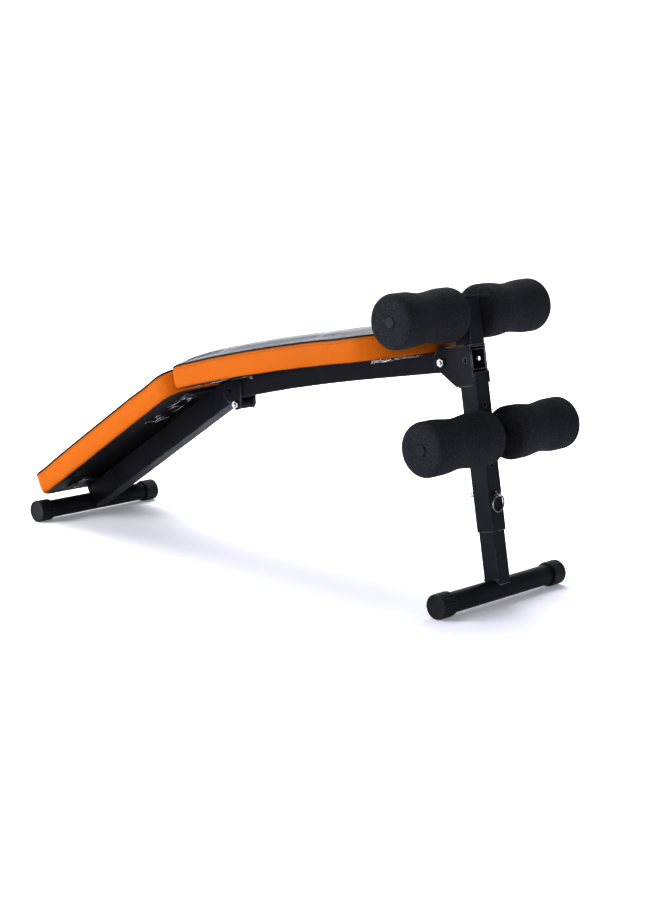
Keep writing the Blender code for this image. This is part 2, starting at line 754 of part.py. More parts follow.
def add_front_pad(upright):
    bottom = TUBE / 2 + TAB_THICKNESS + 2 * GAP
    corners = (0.110, 0.016)

    def place(along, y, z):
        x, height = beam_point(FRONT_PAD_START + along, z)
        return Vector((x, y, height))

    add_pad("front", upright, FRONT_PAD_LENGTH, corners, FRONT_PAD_THICKNESS, bottom, place)
    screw_out = 0.034
    for name, along in (("front_pad_front", 0.165), ("front_pad_rear", 0.560)):
        x, z = beam_point(along, TUBE / 2)
        bend = max(along - BEAM_STRAIGHT, 0.0) / BEAM_BEND_RADIUS
        add_pad_tab(name, upright, (x, 0.0, z), -bend, screw_out)


def add_rear_pad(rear):
    corners = (0.045, 0.016)

    def place(along, y, z):
        return Vector((-REAR_PAD_START - along, y, z))

    add_pad("rear", rear, REAR_PAD_LENGTH, corners, REAR_PAD_THICKNESS, REAR_PAD_BOTTOM, place)
    screw_out = 0.072
    for name, x in (("rear_pad_upper", -0.070), ("rear_pad_lower", -0.512)):
        add_pad_tab(name, rear, (x, 0.0, REAR_BEAM_TOP), 0.0, screw_out)


clear_scene()
STEEL = make_material("black_powder_coat", (0.012, 0.012, 0.013), 0.38)
PLASTIC = make_material("black_plastic", (0.020, 0.020, 0.021), 0.50)
FOAM = make_material("black_foam", (0.016, 0.016, 0.017), 0.95)
VINYL = make_material("orange_vinyl", (0.90, 0.26, 0.02), 0.45)
BOARD = make_material("black_board", (0.015, 0.015, 0.015), 0.70)
ZINC = make_material("zinc_plate", (0.62, 0.63, 0.65), 0.28, 1.0)

upright_frame = make_empty("upright", (FRONT_FOOT_X, 0.0, CAP_RADIUS), -LEAN)
rear_frame = make_empty("rear", fold_place(), -REAR_SLOPE)

add_leg(upright_frame)
add_sleeve(upright_frame)
saddle_piece = add_saddle(upright_frame)
add_post(upright_frame)
add_front_beam(upright_frame, saddle_piece)
add_hinge_plates()
add_rear_beam(rear_frame)
add_roller_bar("upper", upright_frame, UPPER_BAR_OUT, UPPER_BAR_HEIGHT, ROLLER_INNER_END)
add_roller_bar("lower", upright_frame, LOWER_BAR_OUT, LOWER_BAR_HEIGHT, LOWER_RIGHT_INNER_END)
add_pull_pin(upright_frame)
add_front_pad(upright_frame)
add_rear_pad(rear_frame)
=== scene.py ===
"""Looks of the decline sit-up bench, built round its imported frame.

Metres, +Z up, +X to the foam leg rollers. The cushions, their backing, the foam rollers, the foot caps, the
split ring and the weld beads are modelled here. The rest is the frame's own metal with better materials.
"""

import json
import math
import random

import bmesh
import bpy
from mathutils import Matrix, Vector, noise
from mathutils.kdtree import KDTree


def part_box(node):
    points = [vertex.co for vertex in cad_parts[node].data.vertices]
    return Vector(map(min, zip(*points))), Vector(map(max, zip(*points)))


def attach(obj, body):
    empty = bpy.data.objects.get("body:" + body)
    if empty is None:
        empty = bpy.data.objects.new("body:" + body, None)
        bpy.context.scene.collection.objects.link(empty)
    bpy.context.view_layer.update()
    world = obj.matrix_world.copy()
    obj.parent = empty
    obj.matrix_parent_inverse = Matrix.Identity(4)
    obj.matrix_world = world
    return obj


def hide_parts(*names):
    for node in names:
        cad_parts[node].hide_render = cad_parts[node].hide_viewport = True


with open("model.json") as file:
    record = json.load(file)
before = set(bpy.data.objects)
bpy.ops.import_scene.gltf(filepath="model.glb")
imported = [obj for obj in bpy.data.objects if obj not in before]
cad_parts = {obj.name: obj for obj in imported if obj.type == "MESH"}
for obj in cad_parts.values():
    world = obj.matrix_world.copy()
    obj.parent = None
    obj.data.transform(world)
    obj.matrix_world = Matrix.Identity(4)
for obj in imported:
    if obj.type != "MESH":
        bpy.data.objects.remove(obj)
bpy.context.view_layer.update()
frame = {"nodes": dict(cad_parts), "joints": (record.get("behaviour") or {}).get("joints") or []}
NODES = frame["nodes"]
JOINTS = {joint["name"]: joint for joint in frame["joints"]}

# Sizes shared with the frame
LEAN = math.radians(9.5)
REAR_SLOPE = math.radians(32.5)
TUBE = 0.038
CAP_RADIUS = 0.0233
CAP_LENGTH = 0.033
FOOT_RADIUS = 0.019
FRONT_FOOT_HALF = 0.1775
REAR_FOOT_HALF = 0.167
BEAM_HEIGHT = 0.4245
BEAM_FRONT = 0.0165
BEAM_STRAIGHT = 0.250
BEAM_BEND_RADIUS = 5.0
BAR_RADIUS = 0.011
PAD_WIDTH = 0.290
PAD_LIFT = 0.0031  # board over beam
FRONT_PAD_START = 0.0840
FRONT_PAD_LENGTH = 0.5920
REAR_PAD_START = 0.0270
REAR_PAD_LENGTH = 0.5180
REAR_BEAM_TOP = 0.0586  # over the fold axis, in the rear frame

# Sizes of what is modelled here
HALF = PAD_WIDTH / 2
OUTLINE_STEP = 0.006  # between points round a pad
BOARD_GAP = 0.0008  # how far above the board's underside a cushion is closed
SKIRT_DROP = 0.002  # from the board's underside to the band's lower edge
SEAM_DROP = 0.0042  # from the edge of the top to the seam
CROWN_RUN = 0.115  # from a pad's edge to its full crown
CROWN_POWER = 2.6
END_RUN = 0.020  # over which the far end's top edge is rounded
END_FALL = 0.0075
ROLLER_RADIUS = 0.050
ROLLER_WAIST = 0.0455
ROLLER_ROUND = 0.0125  # radius of a roller's edges
ROLLER_FULLEST = 0.20  # share of its length from an end to its fullest part
ROLLER_BORE = BAR_RADIUS + 0.0003


def foot_centre(node):
    low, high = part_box(node)
    return Vector(((low.x + high.x) / 2, 0.0, (low.z + high.z) / 2))


FOLD = Vector(JOINTS["mid_fold"]["pos_m"])
FRONT_FOOT = Vector((foot_centre("front_foot_tube").x, 0.0, CAP_RADIUS))
UPRIGHT = Matrix.Translation(FRONT_FOOT) @ Matrix.Rotation(-LEAN, 4, "Y")
REAR = Matrix.Translation(FOLD) @ Matrix.Rotation(-REAR_SLOPE, 4, "Y")


def beam_point(along, height):
    """A point in the upright's frame: along the front beam from its front end, and above its middle."""
    bend = max(along - BEAM_STRAIGHT, 0.0) / BEAM_BEND_RADIUS
    reach = BEAM_BEND_RADIUS + height
    x = BEAM_FRONT - min(along, BEAM_STRAIGHT) - reach * math.sin(bend)
    z = BEAM_HEIGHT - BEAM_BEND_RADIUS + reach * math.cos(bend)
    return x, z


# Node helpers


def new_material(name, roughness, metallic=0.0, specular=0.5):
    material = bpy.data.materials.new(name)
    material.use_nodes = True
    shader = material.node_tree.nodes["Principled BSDF"]
    shader.inputs["Roughness"].default_value = roughness
    shader.inputs["Metallic"].default_value = metallic
    shader.inputs["Specular IOR Level"].default_value = specular
    return material, material.node_tree, shader


def add_node(tree, kind, **settings):
    node = tree.nodes.new(kind)
    for key, value in settings.items():
        setattr(node, key, value)
    return node


def link(tree, output, socket):
    tree.links.new(output, socket)


def coordinates(tree, kind="Object", stretch=(1.0, 1.0, 1.0), turn=(0.0, 0.0, 0.0)):
    source = add_node(tree, "ShaderNodeTexCoord")
    mapping = add_node(tree, "ShaderNodeMapping")
    mapping.inputs["Scale"].default_value = stretch
    mapping.inputs["Rotation"].default_value = turn
    link(tree, source.outputs[kind], mapping.inputs["Vector"])
    return mapping.outputs["Vector"]


def noise_texture(tree, vector, scale, detail=3.0, roughness=0.5):
    texture = add_node(tree, "ShaderNodeTexNoise")
    texture.inputs["Scale"].default_value = scale
    texture.inputs["Detail"].default_value = detail
    texture.inputs["Roughness"].default_value = roughness
    link(tree, vector, texture.inputs["Vector"])
    return texture.outputs["Fac"]


def voronoi(tree, vector, scale, feature="F1", randomness=1.0):
    texture = add_node(tree, "ShaderNodeTexVoronoi", feature=feature)
    texture.inputs["Scale"].default_value = scale
    texture.inputs["Randomness"].default_value = randomness
    link(tree, vector, texture.inputs["Vector"])
    return texture.outputs["Distance"]


def remap(tree, value, source, target=(0.0, 1.0)):
    """The value moved from the source range to the target range, and held inside it."""
    node = add_node(tree, "ShaderNodeMapRange")
    node.inputs["From Min"].default_value = source[0]
    node.inputs["From Max"].default_value = source[1]
    node.inputs["To Min"].default_value = target[0]
    node.inputs["To Max"].default_value = target[1]
    link(tree, value, node.inputs["Value"])
    return node.outputs["Result"]


def mix_colours(tree, share, first, second):
    node = add_node(tree, "ShaderNodeMix", data_type="RGBA")
    link(tree, share, node.inputs["Factor"])
    node.inputs["A"].default_value = (*first, 1.0)
    node.inputs["B"].default_value = (*second, 1.0)
    return node.outputs["Result"]


def rounded_edges(tree, radius):
    """Normals that turn softly over a hard edge, as paint does."""
    node = add_node(tree, "ShaderNodeBevel", samples=6)
    node.inputs["Radius"].default_value = radius
    return node.outputs["Normal"]


def edge_wear_and_highlight(tree, edges, place):
    """How far an edge is painted pale, as a painted highlight and as paint rubbed to bare steel: most on the
    sharpest line, and patchy along it.
    """
    geometry = add_node(tree, "ShaderNodeNewGeometry")
    turn = add_node(tree, "ShaderNodeVectorMath", operation="DOT_PRODUCT")
    link(tree, edges, turn.inputs[0])
    link(tree, geometry.outputs["Normal"], turn.inputs[1])
    line = remap(tree, turn.outputs["Value"], (0.985, 0.86))
    patchiness = remap(tree, noise_texture(tree, place, 45.0, 3.0), (0.38, 0.62), (0.12, 1.0))
    highlight_share = add_node(tree, "ShaderNodeMath", operation="MULTIPLY")
    link(tree, line, highlight_share.inputs[0])
    link(tree, patchiness, highlight_share.inputs[1])
    return highlight_share.outputs["Value"]


def bump(tree, height, strength, distance, under=None):
    node = add_node(tree, "ShaderNodeBump")
    node.inputs["Strength"].default_value = strength
    node.inputs["Distance"].default_value = distance
    link(tree, height, node.inputs["Height"])
    if under is not None:
        link(tree, under, node.inputs["Normal"])
    return node.outputs["Normal"]


# Materials. Each pair holds the darker and the lighter colour that a pattern mixes.

WHITE = (1.0, 1.0, 1.0)
PAINTS = ((0.0180, 0.0180, 0.0245), (0.0285, 0.0285, 0.0375))
EDGE_WEAR_AND_HIGHLIGHT = (0.60, 0.60, 0.68)
ZINCS = ((0.38, 0.39, 0.42), (0.56, 0.55, 0.51))
FOAM_AND_PAINTED_GLINTS = ((0.0330, 0.0330, 0.0400), (0.105, 0.105, 0.122))
ORANGES = ((0.52, 0.162, 0.001), (0.58, 0.182, 0.003))
DOT_SHADE = (0.58, 0.34, 0.32)
DOTS_PER_METRE = 370.0
BLACK_VINYLS = ((0.0025, 0.0025, 0.003), (0.005, 0.005, 0.006))
FILM_GLINT_COLOURS = ((0.35, 0.35, 0.37), (0.95, 0.95, 0.98))


def powder_coat_material():
    """Satin black powder coat: a fine orange peel, a little uneven gloss, dusty lighter patches and pale
    painted highlights along its edges.
    """
    material, tree, shader = new_material("black_powder_coat_look", 0.42, specular=0.12)
    place = coordinates(tree)
    patches = noise_texture(tree, place, 14.0, 4.0)
    share = remap(tree, patches, (0.35, 0.75))
    edges = rounded_edges(tree, 0.0018)
    paint = mix_colours(tree, share, *PAINTS)
    # Pale lines along the edges: a painted highlight, which also reads as paint rubbed through to bare steel.
    worn_and_highlighted = add_node(tree, "ShaderNodeMix", data_type="RGBA")
    link(tree, edge_wear_and_highlight(tree, edges, place), worn_and_highlighted.inputs["Factor"])
    link(tree, paint, worn_and_highlighted.inputs["A"])
    worn_and_highlighted.inputs["B"].default_value = (*EDGE_WEAR_AND_HIGHLIGHT, 1.0)
    link(tree, worn_and_highlighted.outputs["Result"], shader.inputs["Base Color"])
    link(tree, remap(tree, patches, (0.3, 0.7), (0.36, 0.48)), shader.inputs["Roughness"])
    peel = noise_texture(tree, place, 900.0, 2.0)
    link(tree, bump(tree, peel, 0.14, 0.0005, under=edges), shader.inputs["Normal"])
    return material


def zinc_material():
    """Bright zinc plate with a faint blue and yellow cast and fine scratches."""
    material, tree, shader = new_material("zinc_plate_look", 0.25, metallic=1.0)
    place = coordinates(tree)
    cast = noise_texture(tree, place, 160.0, 3.0)
    link(tree, mix_colours(tree, cast, *ZINCS), shader.inputs["Base Color"])
    scratches = noise_texture(tree, coordinates(tree, stretch=(1.0, 9.0, 1.0)), 600.0, 4.0)
    link(tree, remap(tree, scratches, (0.3, 0.7), (0.16, 0.36)), shader.inputs["Roughness"])
    link(tree, bump(tree, scratches, 0.12, 0.0002), shader.inputs["Normal"])
    return material


def plastic_material(name, colours):
    """Moulded black plastic with a fine spark-eroded grain and scuffs."""
    material, tree, shader = new_material(name, 0.45, specular=0.3)
    place = coordinates(tree)
    scuffs = noise_texture(tree, place, 60.0, 5.0, 0.65)
    scuffed = remap(tree, scuffs, (0.45, 0.8))
    link(tree, mix_colours(tree, scuffed, *colours), shader.inputs["Base Color"])
    link(tree, remap(tree, scuffs, (0.3, 0.7), (0.36, 0.55)), shader.inputs["Roughness"])
    grain = noise_texture(tree, place, 2200.0, 2.0)
    link(tree, bump(tree, grain, 0.18, 0.0002), shader.inputs["Normal"])
    return material


def foam_material():
    """Black foam: small pores between cell walls, and pale specks painted over it as glints where cells would
    catch the light.
    """
    material, tree, shader = new_material("black_foam_look", 0.85, specular=0.12)
    place = coordinates(tree)
    cells = voronoi(tree, place, 620.0)
    small_cells = voronoi(tree, place, 1500.0)
    painted_glint_noise = noise_texture(tree, place, 560.0, 3.0, 0.75)
    painted_glints = remap(tree, painted_glint_noise, (0.57, 0.66))
    # Painted glints: pale specks mixed into the foam's colour.
    link(tree, mix_colours(tree, painted_glints, *FOAM_AND_PAINTED_GLINTS), shader.inputs["Base Color"])
    coarse = bump(tree, cells, 0.75, 0.0012)
    link(tree, bump(tree, small_cells, 0.5, 0.0006, under=coarse), shader.inputs["Normal"])
    return material


def band_material():
    """Orange vinyl with a fine grid of pressed dots, and a little wear in its colour."""
    material, tree, shader = new_material("orange_band_look", 0.46, specular=0.15)
    dots_at = coordinates(tree, "UV", (DOTS_PER_METRE, DOTS_PER_METRE, 1.0), (0.0, 0.0, math.radians(45)))
    dots = remap(tree, voronoi(tree, dots_at, 1.0, randomness=0.0), (0.18, 0.40))
    place = coordinates(tree)
    patches = noise_texture(tree, place, 9.0, 3.0)
    base = add_node(tree, "ShaderNodeMix", data_type="RGBA", blend_type="MULTIPLY")
    base.inputs["Factor"].default_value = 1.0
    link(tree, mix_colours(tree, patches, *ORANGES), base.inputs["A"])
    link(tree, mix_colours(tree, dots, DOT_SHADE, WHITE), base.inputs["B"])
    link(tree, base.outputs["Result"], shader.inputs["Base Color"])
    grain = noise_texture(tree, place, 1300.0, 2.0)
    pressed = bump(tree, dots, 0.55, 0.0005)
    link(tree, bump(tree, grain, 0.15, 0.0002, under=pressed), shader.inputs["Normal"])
    return material


def black_vinyl_material(name, roughness, specular, coarse):
    """Black upholstery vinyl with a pebbled grain, and soft folds as strong as coarse says."""
    material, tree, shader = new_material(name, roughness, specular=specular)
    place = coordinates(tree)
    patches = noise_texture(tree, place, 11.0, 3.0)
    link(tree, mix_colours(tree, patches, *BLACK_VINYLS), shader.inputs["Base Color"])
    uneven = remap(tree, patches, (0.3, 0.7), (roughness - 0.05, roughness + 0.08))
    link(tree, uneven, shader.inputs["Roughness"])
    pebbles = voronoi(tree, place, 700.0, feature="SMOOTH_F1")
    soft = noise_texture(tree, place, 45.0, 4.0)
    folds = bump(tree, soft, coarse, 0.004)
    link(tree, bump(tree, pebbles, 0.16, 0.0004, under=folds), shader.inputs["Normal"])
    return material


def film_material():
    """Creased glossy film, silvery along its folds, with pale painted glints."""
    material, tree, shader = new_material("creased_film_look", 0.22, metallic=0.85)
    place = coordinates(tree)
    streaks = noise_texture(tree, place, 380.0, 3.0)
    # Painted glints: pale silvery colour along the creases.
    link(tree, mix_colours(tree, streaks, *FILM_GLINT_COLOURS), shader.inputs["Base Color"])
    link(tree, remap(tree, streaks, (0.3, 0.7), (0.15, 0.35)), shader.inputs["Roughness"])
    link(tree, bump(tree, streaks, 0.3, 0.0004), shader.inputs["Normal"])
    return material


POWDER_COAT = powder_coat_material()
ZINC = zinc_material()
PLASTIC = plastic_material("black_plastic_look", ((0.012, 0.012, 0.016), (0.024, 0.024, 0.031)))
PLUG_PLASTIC = plastic_material("plug_plastic_look", ((0.005, 0.005, 0.006), (0.011, 0.011, 0.012)))
FOAM = foam_material()
BAND = band_material()
TOP_VINYL = black_vinyl_material("top_vinyl_look", roughness=0.27, specular=0.55, coarse=0.04)
PIPING_VINYL = black_vinyl_material("piping_vinyl_look", roughness=0.35, specular=0.3, coarse=0.0)
THREAD = plastic_material("thread_look", ((0.006, 0.006, 0.007), (0.014, 0.014, 0.015)))
CREASED_FILM = film_material()
BACKING_VINYL = black_vinyl_material("backing_vinyl_look", roughness=0.36, specular=0.10, coarse=0.08)


# Mesh helpers


def finish_mesh(name, body, materials, body_name, sharp_degrees=40):
    """Makes an object of a bmesh, and rides it on its body."""
    bmesh.ops.recalc_face_normals(body, faces=body.faces)
    mesh = bpy.data.meshes.new(name)
    body.to_mesh(mesh)
    body.free()
    for material in materials:
        mesh.materials.append(material)
    mesh.shade_smooth()
    mesh.set_sharp_from_angle(angle=math.radians(sharp_degrees))
    piece = bpy.data.objects.new(name, mesh)
    bpy.context.scene.collection.objects.link(piece)
    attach(piece, body_name)
    return piece


def bridge(body, rows, closed_rows=False):
    """Strips of faces between neighbouring rows of vertices. Every row is a closed loop of the same count."""
    pairs = list(zip(rows, rows[1:]))
    if closed_rows:
        pairs.append((rows[-1], rows[0]))
    count = len(rows[0])
    made = []
    for row, following in pairs:
        strip = []
        for i in range(count):
            j = (i + 1) % count
            strip.append(body.faces.new((row[i], row[j], following[j], following[i])))
        made.append(strip)
    return made


def circle(body, middle, side, up, radius, sides):
    """A loop of vertices round middle, in the plane of side and up."""
    loop = []
    for k in range(sides):
        turn = 2 * math.pi * k / sides
        loop.append(body.verts.new(middle + side * radius * math.cos(turn) + up * radius * math.sin(turn)))
    return loop


def close_ends(body, rows):
    body.faces.new(rows[0])
    body.faces.new(rows[-1])


def tube_along(points, radius, sides=8, closed=False, ripple=0.0, ripple_length=0.0025):
    """A round tube along points. ripple swells and shrinks it along its length, like a weld's scales."""
    body = bmesh.new()
    count = len(points)
    rows = []
    travelled = 0.0
    for i, point in enumerate(points):
        before = points[i - 1] if i > 0 or closed else point
        after = points[(i + 1) % count] if i < count - 1 or closed else point
        along = (after - before).normalized()
        side = along.orthogonal().normalized() if i == 0 else (side - along * side.dot(along)).normalized()
        up = along.cross(side)
        if i > 0:
            travelled += (point - points[i - 1]).length
        swell = radius * (1.0 + ripple * math.sin(2 * math.pi * travelled / ripple_length))
        rows.append(circle(body, point, side, up, swell, sides))
    bridge(body, rows, closed)
    if not closed:
        close_ends(body, rows)
    return body


def resample(points, step):
    """Evenly spaced points along a polyline."""
    made = [points[0]]
    for start, end in zip(points, points[1:]):
        parts = max(1, round((end - start).length / step))
        made += [start.lerp(end, (i + 1) / parts) for i in range(parts)]
    return made


def lathe(rows_of_radius, steps, place):
    """A closed ring turned from (along, radius) pairs. place gives the point at (along, x, z)."""
    body = bmesh.new()
    rows = []
    for along, radius in rows_of_radius:
        row = []
        for i in range(steps):
            turn = 2 * math.pi * i / steps
            row.append(body.verts.new(place(along, radius * math.cos(turn), radius * math.sin(turn))))
        rows.append(row)
    bridge(body, rows, closed_rows=True)
    return body


# Pads

BAND_SLOT, TOP_SLOT, UNDER_SLOT = range(3)
BAND_ROWS = 10
BAND_BULGE = 0.0016
PIPING_RADIUS = 0.0018
WELT_RADIUS = 0.0009
STITCH = 0.0034
STITCH_GAP = 0.0012
THREAD_RADII = ((0.0, 0.00012), (0.25, 0.00034), (0.75, 0.00034), (1.0, 0.00012))  # (share, radius)
TOP_ROWS = 20
BACKING_ROWS = 26
BACKING_SAG = 0.0009
CREASE_STEP = 0.0026
TAB_HALF_LENGTH = 0.014
INNERMOST = 0.97  # share of the way to the middle line where the innermost loop lies
STILL_LEVELS = 4  # lowest loops, which lie against the board and don't swell


class Pad:
    """The outline of one pad and where it lies. place gives the point at (along, y, height)."""

    def __init__(self, prefix, length, corners, thickness, crown, body, place):
        self.prefix = prefix
        self.length = length
        self.corners = corners
        self.thickness = thickness
        self.crown = crown
        self.body = body
        self.place = place
        self.outline = self.make_outline()
        self.swelling = None

    def make_outline(self):
        """Points round the pad in plan, mirrored over its middle line, each with its outward direction."""
        side = self.left_side()
        dense = [side[0]]
        for (a, a_out), (b, b_out) in zip(side, side[1:]):
            a, b = Vector(a), Vector(b)
            if (b - a).length < 1e-6:
                continue
            parts = max(1, round((b - a).length / OUTLINE_STEP))
            for i in range(1, parts + 1):
                share = i / parts
                outward = Vector(a_out).lerp(Vector(b_out), share).normalized()
                dense.append((tuple(a.lerp(b, share)), tuple(outward)))
        mirrored = [((x, -y), (out_x, -out_y)) for (x, y), (out_x, out_y) in reversed(dense[1:-1])]
        return dense + mirrored

    def left_side(self):
        """The ends of the straight parts and the points round the corners, on the pad's left half."""
        start_corner, end_corner = self.corners
        side = [((0.0, 0.0), (-1.0, 0.0)), ((0.0, HALF - start_corner), (-1.0, 0.0))]
        side += self.corner_points((start_corner, HALF - start_corner), start_corner, 180, 90)
        side.append(((self.length - end_corner, HALF), (0.0, 1.0)))
        side += self.corner_points((self.length - end_corner, HALF - end_corner), end_corner, 90, 0)
        side.append(((self.length, 0.0), (1.0, 0.0)))
        return side

    @staticmethod
    def corner_points(centre, radius, start, end):
        parts = max(4, round(radius * math.pi / 2 / OUTLINE_STEP))
        points = []
        for i in range(parts + 1):
            angle = math.radians(start + (end - start) * i / parts)
            outward = (math.cos(angle), math.sin(angle))
            points.append(((centre[0] + radius * outward[0], centre[1] + radius * outward[1]), outward))
        return points

    def anchor(self, along):
        """Where the rings over this place along the pad shrink to, on its middle line."""
        return Vector((min(max(along, HALF), self.length - HALF), 0.0))

    def ring(self, share, height, bulge=0.0):
        """One loop of points: share 0 lies on the outline and 1 on the middle line."""
        points = []
        for position, outward in self.outline:
            flat = Vector(position).lerp(self.anchor(position[0]), share) + Vector(outward) * bulge
            rise = height(flat.x, flat.y) if callable(height) else height
            points.append(self.place(flat.x, flat.y, self.eased(flat.x, rise)))
        return points

    def eased(self, along, rise):
        """The height, eased down at the pad's far end, where the filling's top edge is rounded."""
        past = max(along - (self.length - END_RUN), 0.0) / END_RUN
        return rise - END_FALL * past**2 * max(rise, 0.0) / self.thickness


def hem_height(along, y):
    """The band's lower edge, pulled a little unevenly over the board."""
    return -SKIRT_DROP + 0.0007 * noise.noise(Vector((along * 24.0, y * 24.0, 5.3)))


def pad_levels(pad):
    """(share, height, bulge, slot) for every loop of a cushion, from under its board up to its crown."""
    return under_levels() + band_levels(pad) + top_levels(pad)


def under_levels():
    """The vinyl turned under the board, and the band's lower edge rolling round it."""
    low = -SKIRT_DROP
    return [
        (0.90, BOARD_GAP, 0.0, UNDER_SLOT),
        (0.50, BOARD_GAP, 0.0, UNDER_SLOT),
        (0.018 / HALF, BOARD_GAP, 0.0, UNDER_SLOT),
        (0.0078 / HALF, hem_height, 0.0, UNDER_SLOT),
        (0.0054 / HALF, hem_height, 0.0, BAND_SLOT),
        (0.0033 / HALF, low + 0.0006, 0.0, BAND_SLOT),
        (0.0018 / HALF, low + 0.0019, 0.0, BAND_SLOT),
        (0.0008 / HALF, low + 0.0040, 0.0, BAND_SLOT),
    ]


def band_levels(pad):
    """The orange side: a little fuller halfway up, and pulled in at the seam."""
    seam = pad.thickness - SEAM_DROP
    lowest = 0.0068 - SKIRT_DROP
    highest = seam - 0.0030
    levels = []
    for i in range(BAND_ROWS):
        share = i / (BAND_ROWS - 1)
        bulge = BAND_BULGE * math.sin(math.pi * (0.12 + 0.80 * share))
        levels.append((0.0004 / HALF, lowest + (highest - lowest) * share, bulge, BAND_SLOT))
    levels.append((0.0012 / HALF, seam, 0.0, BAND_SLOT))
    return levels


def top_levels(pad):
    """The black top: out of the seam, over a shoulder, and up to the crown along the middle line."""
    seam = pad.thickness - SEAM_DROP
    shoulder = 0.0064 / HALF
    levels = [
        (0.0019 / HALF, seam + 0.0012, 0.0, TOP_SLOT),
        (0.0016 / HALF, seam + 0.0026, 0.0, TOP_SLOT),
        (0.0030 / HALF, pad.thickness - 0.0010, 0.0, TOP_SLOT),
        (shoulder, pad.thickness + 0.0004, 0.0, TOP_SLOT),
    ]
    for i in range(1, TOP_ROWS + 1):
        share = shoulder + (INNERMOST - shoulder) * i / TOP_ROWS
        levels.append((share, crown_over(pad), 0.0, TOP_SLOT))
    return levels


def crown_over(pad):
    """The top's height over the board: a shoulder close to the seam and a soft dome to the middle."""

    def rise(inset):
        return 1.0 - max(1.0 - inset / CROWN_RUN, 0.0) ** CROWN_POWER

    def height(along, y):
        dome = rise(HALF - abs(y)) * rise(min(along, pad.length - along))
        slack = 0.0006 * noise.noise(Vector((along * 9.0, y * 9.0, 1.7)))
        return pad.thickness + pad.crown(along) * dome + slack * dome

    return height


class Swelling:
    """How far the filling pushes the upholstery out, from a cloth simulation of the closed pad."""

    FRAMES = 20
    VOXEL = 0.006
    PRESSURE = 4.0
    CAP = 0.0045  # furthest that a point may move
    FIRMNESS = 0.9  # share of a sinking move that the foam holds back
    HELD_LEVELS = 6  # lowest loops, held against the board
    NEIGHBOURS = 6

    def __init__(self, pad):
        self.tree = None
        proxy = self.make_proxy(pad)
        start = [vertex.co.copy() for vertex in proxy.data.vertices]
        normals = [vertex.normal.copy() for vertex in proxy.data.vertices]
        ends = self.run(proxy)
        self.moves = [self.limited(end - first, normal) for first, end, normal in zip(start, ends, normals)]
        self.tree = KDTree(len(start))
        for i, point in enumerate(start):
            self.tree.insert(point, i)
        self.tree.balance()
        bpy.data.objects.remove(proxy)

    def limited(self, move, normal):
        """The foam keeps the cover from sinking in, and the cap keeps it from ballooning."""
        sinking = min(move.dot(normal), 0.0)
        kept = move - normal * sinking * self.FIRMNESS
        return kept if kept.length <= self.CAP else kept.normalized() * self.CAP

    def make_proxy(self, pad):
        """The pad's closed form in even small faces, with the side against the board held still."""
        body = bmesh.new()
        loops = [pad.ring(*level[:3]) for level in pad_levels(pad)]
        rows = [[body.verts.new(point) for point in loop] for loop in loops]
        bridge(body, rows)
        close_rows(body, rows)
        bmesh.ops.recalc_face_normals(body, faces=body.faces)
        mesh = bpy.data.meshes.new("swelling_proxy")
        body.to_mesh(mesh)
        body.free()
        proxy = bpy.data.objects.new("swelling_proxy", mesh)
        bpy.context.scene.collection.objects.link(proxy)
        remesh = proxy.modifiers.new("remesh", "REMESH")
        remesh.mode = "VOXEL"
        remesh.voxel_size = self.VOXEL
        proxy.data = self.evaluated_mesh(proxy)
        proxy.modifiers.clear()
        self.hold(proxy, loops[:self.HELD_LEVELS])
        return proxy

    def hold(self, proxy, loops):
        """Puts the vertices near these loops of points in the group that stays still."""
        points = [point for loop in loops for point in loop]
        surface = KDTree(len(points))
        for i, point in enumerate(points):
            surface.insert(point, i)
        surface.balance()
        near = [v.index for v in proxy.data.vertices if surface.find(v.co)[2] < self.VOXEL * 1.2]
        proxy.vertex_groups.new(name="held").add(near, 1.0, "REPLACE")

    @staticmethod
    def evaluated_mesh(piece):
        graph = bpy.context.evaluated_depsgraph_get()
        return bpy.data.meshes.new_from_object(piece.evaluated_get(graph))

    def run(self, proxy):
        """Where the cloth's points end after the last frame."""
        cloth = proxy.modifiers.new("cloth", "CLOTH")
        settings = cloth.settings
        settings.quality = 6
        settings.mass = 0.3
        settings.tension_stiffness = 25.0
        settings.compression_stiffness = 25.0
        settings.bending_stiffness = 4.0
        settings.effector_weights.gravity = 0.0
        settings.use_pressure = True
        settings.uniform_pressure_force = self.PRESSURE
        settings.vertex_group_mass = "held"
        for frame_number in range(1, self.FRAMES + 1):
            bpy.context.scene.frame_set(frame_number)
        swollen = self.evaluated_mesh(proxy)
        places = [vertex.co.copy() for vertex in swollen.vertices]
        proxy.modifiers.clear()
        bpy.context.scene.frame_set(1)
        return places

    def apply(self, point):
        """The point carried along with the cloth next to it."""
        if self.tree is None:
            return point
        total = Vector()
        weight_sum = 0.0
        for _, index, distance in self.tree.find_n(point, self.NEIGHBOURS):
            weight = 1.0 / (distance + 0.001)
            total += self.moves[index] * weight
            weight_sum += weight
        return point + total / weight_sum


def close_rows(body, rows, slots=(0, 0)):
    """Fills the first and last loops, which run mirrored over the pad's middle line."""
    for row, slot in zip((rows[0], rows[-1]), slots):
        count = len(row)
        middle = count // 2
        faces = [body.faces.new((row[0], row[1], row[count - 1]))]
        for i in range(1, middle - 1):
            faces.append(body.faces.new((row[i], row[i + 1], row[count - i - 1], row[count - i])))
        faces.append(body.faces.new((row[middle - 1], row[middle], row[middle + 1])))
        for face in faces:
            face.material_index = slot


def distances_round(outline):
    """How far round the pad each point of its outline lies, and the whole way round at the end."""
    around = [0.0]
    for (here, _), (following, _) in zip(outline, outline[1:] + outline[:1]):
        around.append(around[-1] + (Vector(here) - Vector(following)).length)
    return around


